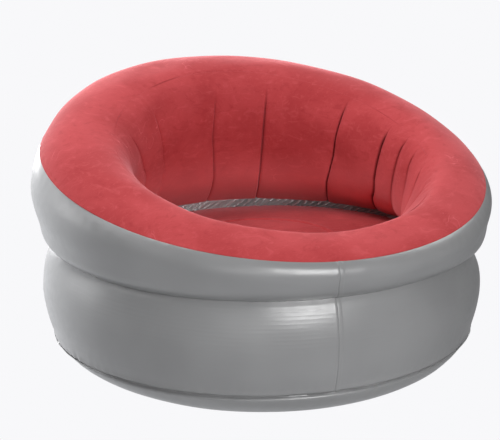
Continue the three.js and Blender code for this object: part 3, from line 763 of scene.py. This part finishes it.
def seat_panel():
    """The seat: a puckered edge at the band, a crowned ring, the drawn-down weld and the disc inside it."""
    turn = even_turns(360)
    foot_radius, foot_height = foot_point(turn)
    edge_radius = foot_radius + BAND_FLARE
    edge_height = foot_height - band_drop(turn)
    outer = np.concatenate([np.linspace(1, 0.05, 26), (0.036, 0.025, 0.017, 0.011, 0.007, 0.003, 0)])[:, None]
    middle_height = (edge_height + SEAT_BEAM_HEIGHT) / 2 + ANNULUS_CROWN
    middle_radius = (edge_radius + SEAT_BEAM_RADIUS) / 2
    disc = np.concatenate([(0.996, 0.991, 0.985, 0.976, 0.96, 0.94), np.linspace(0.9, 0.003, 22)])[:, None]
    radius = np.vstack([through_point(SEAT_BEAM_RADIUS, middle_radius, edge_radius, outer),
                        SEAT_BEAM_RADIUS * disc + 0 * turn])
    height = np.vstack([through_point(SEAT_BEAM_HEIGHT, middle_height, edge_height, outer),
                        SEAT_BEAM_HEIGHT + SEAT_CROWN * (1 - disc ** 2) + 0 * turn])
    base = swept(radius, height, turn)
    normal = -grid_normals(base)
    from_edge = edge_radius - radius
    inward = SEAT_BEAM_RADIUS - radius
    lift = puckers(0.8, 24, turn, from_edge, from_edge, (50, 120), 71, (80, 200), 6)
    lift += puckers(0.35, 16, turn, from_edge, np.abs(inward), (25, 70), 72, calm=4, count=20)
    lift += 0.4 * waves(turn, from_edge, (2, 7), (120, 300), 73) * smooth(radius, 0, 120)
    lift += SEAT_WELD_RIDGE * hump(inward - 3.5, 3.0) - SEAT_WELD_GROOVE * hump(inward + 5, 6)
    grid = base + normal * lift[..., None]
    grid = np.concatenate([grid[:1] + swept(6, -1.8, turn), grid])
    return closed_sheet("seat_panel_flock", grid[::-1], FLOCKED_FILM, SEAT_FLOCK_PAINTED_LIGHT)


# Cutting

def cylinder_cutter(radius, length, centre, axis):
    sides = 64
    turn = np.linspace(0, 2 * math.pi, sides, endpoint=False)
    ring = np.stack([radius * np.cos(turn), radius * np.sin(turn)], axis=-1)
    points = np.vstack([np.column_stack([ring, np.full(sides, end)]) for end in (-length / 2, length / 2)])
    if axis == "Y":
        points = points[:, [0, 2, 1]] * (1, 1, -1)
    points = (points + centre) * MM
    faces = [tuple(range(sides))[::-1], tuple(range(sides, 2 * sides))]
    faces += [(i, (i + 1) % sides, (i + 1) % sides + sides, i + sides) for i in range(sides)]
    return mesh_object("cutter", points, faces, smooth_shading=False)


def cut_away(piece, cutter):
    """Subtracts the cutter from the piece's mesh and removes the cutter."""
    modifier = piece.modifiers.new("cut", "BOOLEAN")
    modifier.operation = "DIFFERENCE"
    modifier.solver = "EXACT"
    modifier.object = cutter
    bpy.context.view_layer.update()
    graph = bpy.context.evaluated_depsgraph_get()
    made = bpy.data.meshes.new_from_object(piece.evaluated_get(graph))
    piece.modifiers.clear()
    piece.data = made
    bpy.data.objects.remove(cutter)


# Screw valve. Its pieces are made about a local +Z that points out of the wall, in millimetres over its face.
VALVE_FACE = LOWER_BULGE[0] + GREY_FILM / 2
VALVE_HEIGHT = LOWER_BULGE[1]
VALVE_WALL_RADII = (LOWER_BULGE[0], 312)
VALVE_COLUMNS = 128
NECK_RADIUS = 17
NECK_BORE = 13.4
NECK_TOP = 8
FLANGE_RADIUS = 32
TETHER = 1.5
TETHER_RING = 2.7
STRAP_WIDTH = 6
GASKET = 1
GROOVE = 1.4
COLLAR_INNER = NECK_RADIUS + CLEARANCE
COLLAR_RADIUS = 20.5
COLLAR_LOW = TETHER + 2 * CLEARANCE
COLLAR_PLATE = NECK_TOP + GASKET + 2 * CLEARANCE
COLLAR_TOP = 11.6
COLLAR_GROOVE = (7.2, 9.3)
FLAP_SEAT = 5.6
SPOUT_RADIUS = 11
SPOUT_BORE = 8.6
SPOUT_TOP = 19.6
CAP_INNER = SPOUT_RADIUS + CLEARANCE
CAP_RADIUS = 14
CAP_LOW = COLLAR_TOP + TETHER + 2 * CLEARANCE
CAP_PLATE = SPOUT_TOP + GASKET + 2 * CLEARANCE
CAP_TOP = 23
CAP_GROOVE = (17.2, 19.3)


def unit(vectors):
    return vectors / np.linalg.norm(vectors, axis=-1, keepdims=True)


def bend(before, corner, after, reach, count):
    """Points of a round bend at a corner, given the directions to the corners before and after it."""
    share = np.linspace(0, 1, count)[:, None]
    return corner + reach * (unit(before) * (1 - share) ** 2 + unit(after) * share ** 2)


def rounded_line(corners, radius=0.3, spacing=0.3):
    """A closed line of radius and height with rounded corners and evenly close points."""
    corners = np.array(corners, float)
    line = []
    for index, corner in enumerate(corners):
        before = corners[index - 1] - corner
        after = corners[(index + 1) % len(corners)] - corner
        reach = min(radius, 0.42 * np.linalg.norm(before), 0.42 * np.linalg.norm(after))
        line.extend(bend(before, corner, after, reach, 5))
    close = []
    for point, following in zip(line, line[1:] + line[:1]):
        steps = max(1, int(np.linalg.norm(following - point) / spacing))
        close.extend(point + (following - point) * step / steps for step in range(steps))
    return np.array(close)


def turned(corners, shape=None, radius=0.3, columns=VALVE_COLUMNS):
    """Points and faces of a round piece. shape changes its radius, given radius, height and turn."""
    line = rounded_line(corners, radius)
    turn = np.linspace(0, 2 * math.pi, columns, endpoint=False)[None, :]
    out, up = (line[:, [side]] + 0 * turn for side in (0, 1))
    if shape:
        out = shape(out, up, turn)
    points = np.stack([out * np.cos(turn), out * np.sin(turn), up], axis=-1).reshape(-1, 3)
    index, after = numbered(len(line), columns)
    return facing_out(points, quads(index, np.roll(index, -1, axis=0), np.roll(after, -1, axis=0), after))


def box_line(inner, outer, low, high):
    return (inner, low), (outer, low), (outer, high), (inner, high)


def facing_out(points, faces):
    """Turns the faces round where they face in."""
    corners = points[faces]
    volume = np.sum(corners[:, 0] * np.cross(corners[:, 1] - corners[:, 3], corners[:, 2]))
    return points, faces if volume > 0 else faces[:, ::-1]


def bent_strap(path, width, thickness):
    """A flat strap with rounded edges along a path of (x, z) points."""
    path = np.array(path, float)
    ahead = unit(np.gradient(path, axis=0))
    side = np.stack([-ahead[:, 1], ahead[:, 0]], axis=-1)
    edge = rounded_line(box_line(-thickness / 2, thickness / 2, -width / 2, width / 2), 0.45, 0.8)
    out = path[:, None] + side[:, None] * edge[None, :, :1]
    points = np.stack([out[..., 0], 0 * out[..., 0] + edge[None, :, 1], out[..., 1]], axis=-1)
    index, after = numbered(*points.shape[:2])
    middles = points[[0, -1]].mean(1)
    low = np.full_like(index[0], index.size)
    faces = [quads(index[:-1], after[:-1], after[1:], index[1:]), quads(low, low, after[0], index[0]),
             quads(index[-1], after[-1], low + 1, low + 1)]
    return facing_out(np.concatenate([points.reshape(-1, 3), middles]), np.concatenate(faces))


def bent_path(corners, reach=1.6):
    """An open line of (x, z) points with round bends."""
    corners = np.array(corners, float)
    path = [corners[0]]
    for before, corner, after in zip(corners, corners[1:], corners[2:]):
        path.extend(bend(before - corner, corner, after - corner, reach, 9))
    path.append(corners[-1])
    return np.array(path)


def valve_piece(name, parts, material):
    """One mesh of several closed parts, set on the wall."""
    points = np.empty((0, 3))
    faces = []
    for part_points, part_faces in parts:
        faces += (part_faces + len(points)).tolist()
        points = np.concatenate([points, part_points])
    world = np.stack([points[:, 0], VALVE_FACE + points[:, 2], VALVE_HEIGHT - points[:, 1]], axis=-1) * MM
    return mesh_object(name, world, faces, material)


def threaded(surface, low, high, pitch, depth):
    """A shape that leaves a screw thread between two heights of the surface at this radius."""
    def shape(out, up, turn):
        on = hump(out - surface, 0.12) * smooth(up, low, low + 0.6) * (1 - smooth(up, high - 0.6, high))
        ridge = 0.5 + 0.5 * np.cos(2 * math.pi * up / pitch - turn)
        return out - depth * on * (1 - ridge ** 0.7)
    return shape


def neck_moulding():
    """Flange behind the wall, bent like it, and the threaded neck."""
    corners = ((NECK_BORE, -6), (NECK_RADIUS, -6), (NECK_RADIUS, -2.0), (FLANGE_RADIUS, -2.0),
               (FLANGE_RADIUS, -0.8), (NECK_RADIUS, -0.8), (NECK_RADIUS, NECK_TOP), (NECK_BORE, NECK_TOP))
    points, faces = turned(corners, threaded(NECK_RADIUS, 1.9, 7.8, 2.0, 0.6), 0.25)
    out = np.hypot(points[:, 0], points[:, 1])
    flange = smooth(out, NECK_RADIUS, NECK_RADIUS + 3) * (points[:, 2] < -0.3)
    across, up = VALVE_WALL_RADII
    points[:, 2] -= flange * (points[:, 0] ** 2 / across + points[:, 1] ** 2 / up) / 2
    return valve_piece("valve_neck_moulding", [(points, faces)], MOULDING)


def gasket(name, outer, inner, under):
    """Flat ring with two fine beads round its edge, over the height that it lies on."""
    low = under + CLEARANCE

    def shape(out, up, turn):
        return out + 0.12 * np.cos(2 * math.pi * (up - low) / 0.5) * (out > outer - 0.05)
    return valve_piece(name, [turned(box_line(inner, outer, low, low + GASKET), shape)], RUBBER)


def tether(name, foot, eye, side):
    """Two rings and the strap that is bent between them. foot and eye are each ring's inner radius and the
    height that it lies on."""
    reach = max(foot[0], eye[0]) + TETHER_RING + 2.6 - TETHER / 2
    rings = []
    ends = []
    for inner, under in (foot, eye):
        low = under + CLEARANCE
        outer = inner + TETHER_RING
        rings.append(turned(box_line(inner, outer, low, low + TETHER), None, 0.4, 96))
        ends.append([(side * (outer - 0.8), low + TETHER / 2), (side * reach, low + TETHER / 2)])
    path = bent_path(ends[0] + ends[1][::-1])
    return valve_piece(name, rings + [bent_strap(path, STRAP_WIDTH, TETHER)], MOULDING)


def collar_moulding():
    """Ribbed skirt with the tether's groove, threaded spout, and the flap's seat on four arms."""
    groove_low, groove_high = COLLAR_GROOVE
    root = COLLAR_RADIUS - GROOVE
    sleeve = NECK_BORE - CLEARANCE
    corners = (
        (COLLAR_INNER, COLLAR_LOW), (COLLAR_RADIUS, COLLAR_LOW), (COLLAR_RADIUS, groove_low),
        (root, groove_low), (root, groove_high), (COLLAR_RADIUS, groove_high), (COLLAR_RADIUS, COLLAR_TOP),
        (SPOUT_RADIUS, COLLAR_TOP), (SPOUT_RADIUS, SPOUT_TOP), (SPOUT_BORE, SPOUT_TOP),
        (SPOUT_BORE, FLAP_SEAT), (sleeve, FLAP_SEAT), (sleeve, COLLAR_PLATE), (COLLAR_INNER, COLLAR_PLATE),
    )
    thread = threaded(SPOUT_RADIUS, 13.6, 19.3, 1.8, 0.55)

    def shape(out, up, turn):
        ribbed = hump(out - COLLAR_RADIUS, 0.15) * smooth(up, 2.4, 3.0) * (1 - smooth(up, 6.4, 6.9))
        ribbed += hump(out - COLLAR_RADIUS, 0.15) * smooth(up, 9.7, 10.1) * (1 - smooth(up, 10.9, 11.3))
        ribs = (0.5 - 0.5 * np.cos(32 * turn)) ** 2
        return thread(out, up, turn) - 0.55 * ribbed * ribs
    arm_height = 1.5
    hub = turned(box_line(1.5, 3.2, FLAP_SEAT, FLAP_SEAT + arm_height), None, 0.25, 48)
    parts = [turned(corners, shape, 0.3, 192), hub]
    reaches = np.linspace(2.9, SPOUT_BORE + 0.6, 6)
    points, faces = bent_strap([(reach, FLAP_SEAT + arm_height / 2) for reach in reaches], 1.6, arm_height)
    for _ in range(4):
        parts.append((points, faces))
        points = points[:, [1, 0, 2]] * (-1, 1, 1)
    return valve_piece("valve_collar_moulding", parts, MOULDING)


def flap_rubber():
    """Disc that closes on its seat, with a stem and a round head."""
    low = FLAP_SEAT - 1.1
    corners = ((0.02, low), (10.4, low), (11.0, low + 0.35), (10.2, low + 0.8), (4.0, low + 0.8),
               (1.2, low + 1.1), (1.2, 9.4), (2.2, 9.4), (2.1, 9.9), (0.9, 10.2), (0.02, 10.2))
    return valve_piece("valve_flap_rubber", [turned(corners, None, 0.25, 96)], RUBBER)


def cap_moulding():
    """Cap with a dished top, finger scallops round its head and fine ribs on its skirt."""
    groove_low, groove_high = CAP_GROOVE
    root = CAP_RADIUS - GROOVE
    head = CAP_RADIUS + 0.8
    corners = (
        (CAP_INNER, CAP_LOW), (CAP_RADIUS, CAP_LOW), (CAP_RADIUS, groove_low), (root, groove_low),
        (root, groove_high), (head, groove_high), (head, CAP_TOP - 0.7), (head - 0.7, CAP_TOP),
        (10.2, CAP_TOP), (9.4, CAP_TOP - 0.6), (0.02, CAP_TOP - 0.6), (0.02, CAP_PLATE),
        (CAP_INNER, CAP_PLATE),
    )

    def shape(out, up, turn):
        scallop = (1 - np.cos(16 * turn)) / 2
        gripped = smooth(out, 13.2, 13.8) * smooth(up, groove_high - 0.05, groove_high)
        ribs = (0.5 - 0.5 * np.cos(48 * turn)) ** 2
        ribbed = hump(out - CAP_RADIUS, 0.15) * smooth(up, 14.0, 14.4) * (1 - smooth(up, 16.5, 16.9))
        inside = hump(out - CAP_INNER, 0.12) * smooth(up, 14.0, 14.6) * (1 - smooth(up, 20.2, 20.8))
        thread = 0.22 * inside * (0.5 + 0.5 * np.cos(2 * math.pi * up / 1.8 - turn))
        return out - 0.8 * gripped * scallop - 0.35 * ribbed * ribs - thread
    return valve_piece("valve_cap_moulding", [turned(corners, shape, 0.35, 192)], MOULDING)


# Assembly

def finish_piece(piece, body, node):
    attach(piece, body)
    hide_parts(node)


def valve_pieces():
    collar_eye = (COLLAR_RADIUS - GROOVE + CLEARANCE, COLLAR_GROOVE[0])
    cap_eye = (CAP_RADIUS - GROOVE + CLEARANCE, CAP_GROOVE[0])
    made = (
        (neck_moulding(), "chair", "valve_moulding", "valve_base"),
        (gasket("collar_gasket_ring", NECK_RADIUS, NECK_BORE, NECK_TOP), "collar", "soft_rubber",
         "collar_gasket"),
        (tether("collar_tether_strap", (COLLAR_INNER, 0), collar_eye, 1), "collar_strap", "valve_moulding",
         "collar_tether"),
        (collar_moulding(), "collar", "valve_moulding", "valve_collar"),
        (flap_rubber(), "flap", "soft_rubber", "valve_flap"),
        (gasket("cap_gasket_ring", SPOUT_RADIUS, SPOUT_BORE, SPOUT_TOP), "cap", "soft_rubber", "cap_gasket"),
        (tether("cap_tether_strap", (CAP_INNER, COLLAR_TOP), cap_eye, -1), "cap_strap", "valve_moulding",
         "cap_tether"),
        (cap_moulding(), "cap", "valve_moulding", "valve_cap"),
    )
    for piece, body, slot, node in made:
        finish_piece(piece, body, node)


def soft_pieces():
    made = (
        (outer_wall(), "grey_film", "outer_wall"),
        (base_panel(), "grey_film", "base_panel"),
        (band(), "grey_film", "divider_web"),
        (divider_ring(), "grey_film", "divider_web"),
        (rim_panel(), "red_flock", "rim_panel"),
        (inner_wall(), "red_flock", "inner_wall"),
        (seat_panel(), "red_flock", "seat_panel"),
    )
    for piece, slot, node in made:
        finish_piece(piece, "chair", node)


def beam_finishes():
    """Film on the seat beams, whose nodes stay as they are."""
    for number in range(1, 5):
        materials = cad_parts[f"seat_beam_{number}"].data.materials
        materials.clear()
        materials.append(BEAM_FILM)


# Studio

CAMERA_TURN = -25.05
CAMERA_DISTANCE = 2769
CAMERA_HEIGHT = 1121.8
TARGET_HEIGHT = 305
FOCAL_PIXELS = 1182.5
FRAME_PIXELS = (500, 440)
TARGET_PIXEL = (262.46, 221.71)
SENSOR_WIDTH = 36


def camera():
    data = bpy.data.cameras.new("camera")
    width, height = FRAME_PIXELS
    column, row = TARGET_PIXEL
    data.sensor_width = SENSOR_WIDTH
    data.lens = FOCAL_PIXELS / width * SENSOR_WIDTH
    data.shift_x = (width / 2 - column) / width
    data.shift_y = (row - height / 2) / width
    data.clip_start = 0.1
    data.clip_end = 100
    place = swept(CAMERA_DISTANCE, CAMERA_HEIGHT, math.radians(CAMERA_TURN)) * MM
    bpy.context.scene.camera = aimed("camera", data, place, Vector((0, 0, TARGET_HEIGHT * MM)))


PALE = (0.9387, 0.9387, 0.956)
FLOOR_HALF = 20


def floor():
    points = np.array([(-1, -1, 0), (1, -1, 0), (1, 1, 0), (-1, 1, 0)]) * FLOOR_HALF
    material, _, shader = new_material("studio_floor")
    settle(shader, {"Base Color": (0, 0, 0, 1), "Roughness": 1.0, "Specular IOR Level": 0.0,
                    "Emission Color": (*PALE, 1), "Emission Strength": 1.0})
    piece = mesh_object("studio_floor", points, [(0, 1, 2, 3)], material, False)
    piece.visible_glossy = piece.visible_diffuse = piece.visible_shadow = False


# Soft boxes: name, azimuth and elevation in degrees, width and height in metres, and watts
LIGHT_DISTANCE = 4.0
LIGHT_TARGET = Vector((0, 0, 0.35))
SOFT_BOXES = (
    ("back_box", 180, 10, 2.1, 2.1, 177),
    ("high_back_box", -165, 35, 3.0, 1.8, 52),
    ("high_left_box", -120, 62, 2.0, 2.0, 80),
    ("left_box", -120, 8, 1.6, 1.6, 11),
    ("side_box", -100, 35, 1.8, 1.8, 12),
    ("front_box", -3, 20, 1.7, 1.7, 72),
    ("low_front_box", 0, 10, 1.5, 1.5, 11),
    ("fill_box", -30, 0, 2.0, 2.0, 11),
    ("right_back_box", 135, 25, 2.5, 2.5, 54),
    ("right_box", 90, 45, 2.0, 2.0, 35),
)
# Wide glows of the studio: azimuth, elevation, the cosine where each begins, and strength
STUDIO_GLOWS = (
    (0, -90, 0.0, 0.34),
    (-165, -20, 0.2, 0.51),
    (0, -10, 0.2, 0.35),
    (-160, 10, 0.5, 0.98),
)
STUDIO_BASE = 0.06


def direction(azimuth, elevation):
    rise = math.radians(elevation)
    return Vector(swept(math.cos(rise), math.sin(rise), math.radians(azimuth)))


def soft_box(name, azimuth, elevation, width, height, power):
    data = bpy.data.lights.new(name, "AREA")
    data.shape = "RECTANGLE"
    data.size = width
    data.size_y = height
    data.energy = power
    place = LIGHT_TARGET + direction(azimuth, elevation) * LIGHT_DISTANCE
    aimed(name, data, place, LIGHT_TARGET).visible_camera = False


def studio():
    """Soft boxes, and a world light with a faint base and a few wide glows."""
    for box in SOFT_BOXES:
        soft_box(*box)
    world = bpy.data.worlds.new("studio")
    world.use_nodes = True
    tree = world.node_tree
    source = tree.nodes.new("ShaderNodeTexCoord")
    total = STUDIO_BASE
    for azimuth, elevation, begins, strength in STUDIO_GLOWS:
        facing = tree.nodes.new("ShaderNodeVectorMath")
        facing.operation = "DOT_PRODUCT"
        facing.inputs[1].default_value = direction(azimuth, elevation)
        tree.links.new(source.outputs["Generated"], facing.inputs[0])
        total = maths(tree, "ADD", levels(tree, facing.outputs["Value"], begins, 1.0, 0.0, strength), total)
    glow = tree.nodes["Background"]
    glow.inputs["Color"].default_value = (0.96, 0.97, 1.0, 1)
    tree.links.new(total, glow.inputs["Strength"])
    backdrop = tree.nodes.new("ShaderNodeBackground")
    backdrop.inputs["Color"].default_value = (*PALE, 1)
    path = tree.nodes.new("ShaderNodeLightPath")
    either = tree.nodes.new("ShaderNodeMixShader")
    tree.links.new(path.outputs["Is Camera Ray"], either.inputs["Fac"])
    tree.links.new(glow.outputs["Background"], either.inputs[1])
    tree.links.new(backdrop.outputs["Background"], either.inputs[2])
    tree.links.new(either.outputs["Shader"], tree.nodes["World Output"].inputs["Surface"])
    bpy.context.scene.world = world
    bpy.context.scene.view_settings.view_transform = "Standard"


camera()
soft_pieces()
valve_pieces()
beam_finishes()
floor()
studio()
